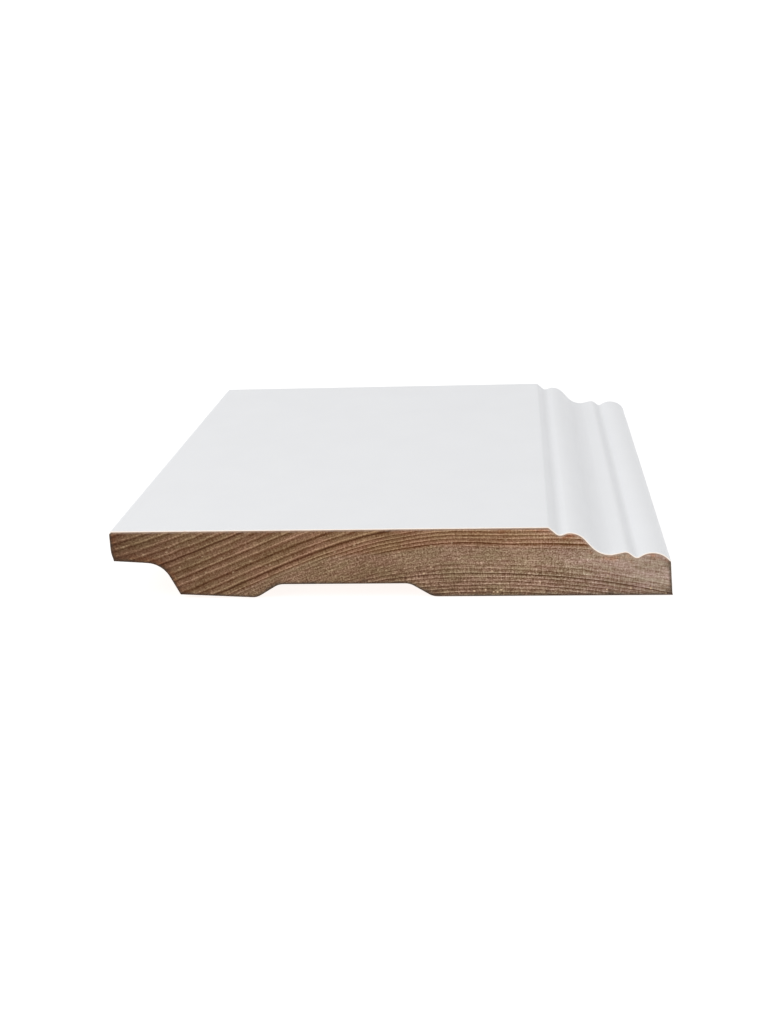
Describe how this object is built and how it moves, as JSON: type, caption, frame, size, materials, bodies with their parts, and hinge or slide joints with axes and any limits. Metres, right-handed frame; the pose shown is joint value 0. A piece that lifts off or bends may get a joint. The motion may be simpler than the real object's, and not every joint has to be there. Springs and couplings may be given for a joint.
{
  "type": "skirting board",
  "caption": "Short square-cut length of painted softwood skirting board with a moulded top edge, a rebated foot and a channelled back.",
  "frame": {"origin": "middle of the underside: the board lies on its back, and the origin is halfway along it and halfway across it, on the plane of its back", "axes": "+X across the board from its floor edge to its moulded top edge, +Y along the board, +Z out of its painted face"},
  "size_m": [0.14, 0.16, 0.018],
  "materials": {
    "bare_wood": "bare sawn and planed softwood",
    "white_paint": "factory-sprayed white paint, satin, on wood"
  },
  "bodies": {
    "root": {"skirting_board": "bare_wood"}
  },
  "joints": []
}
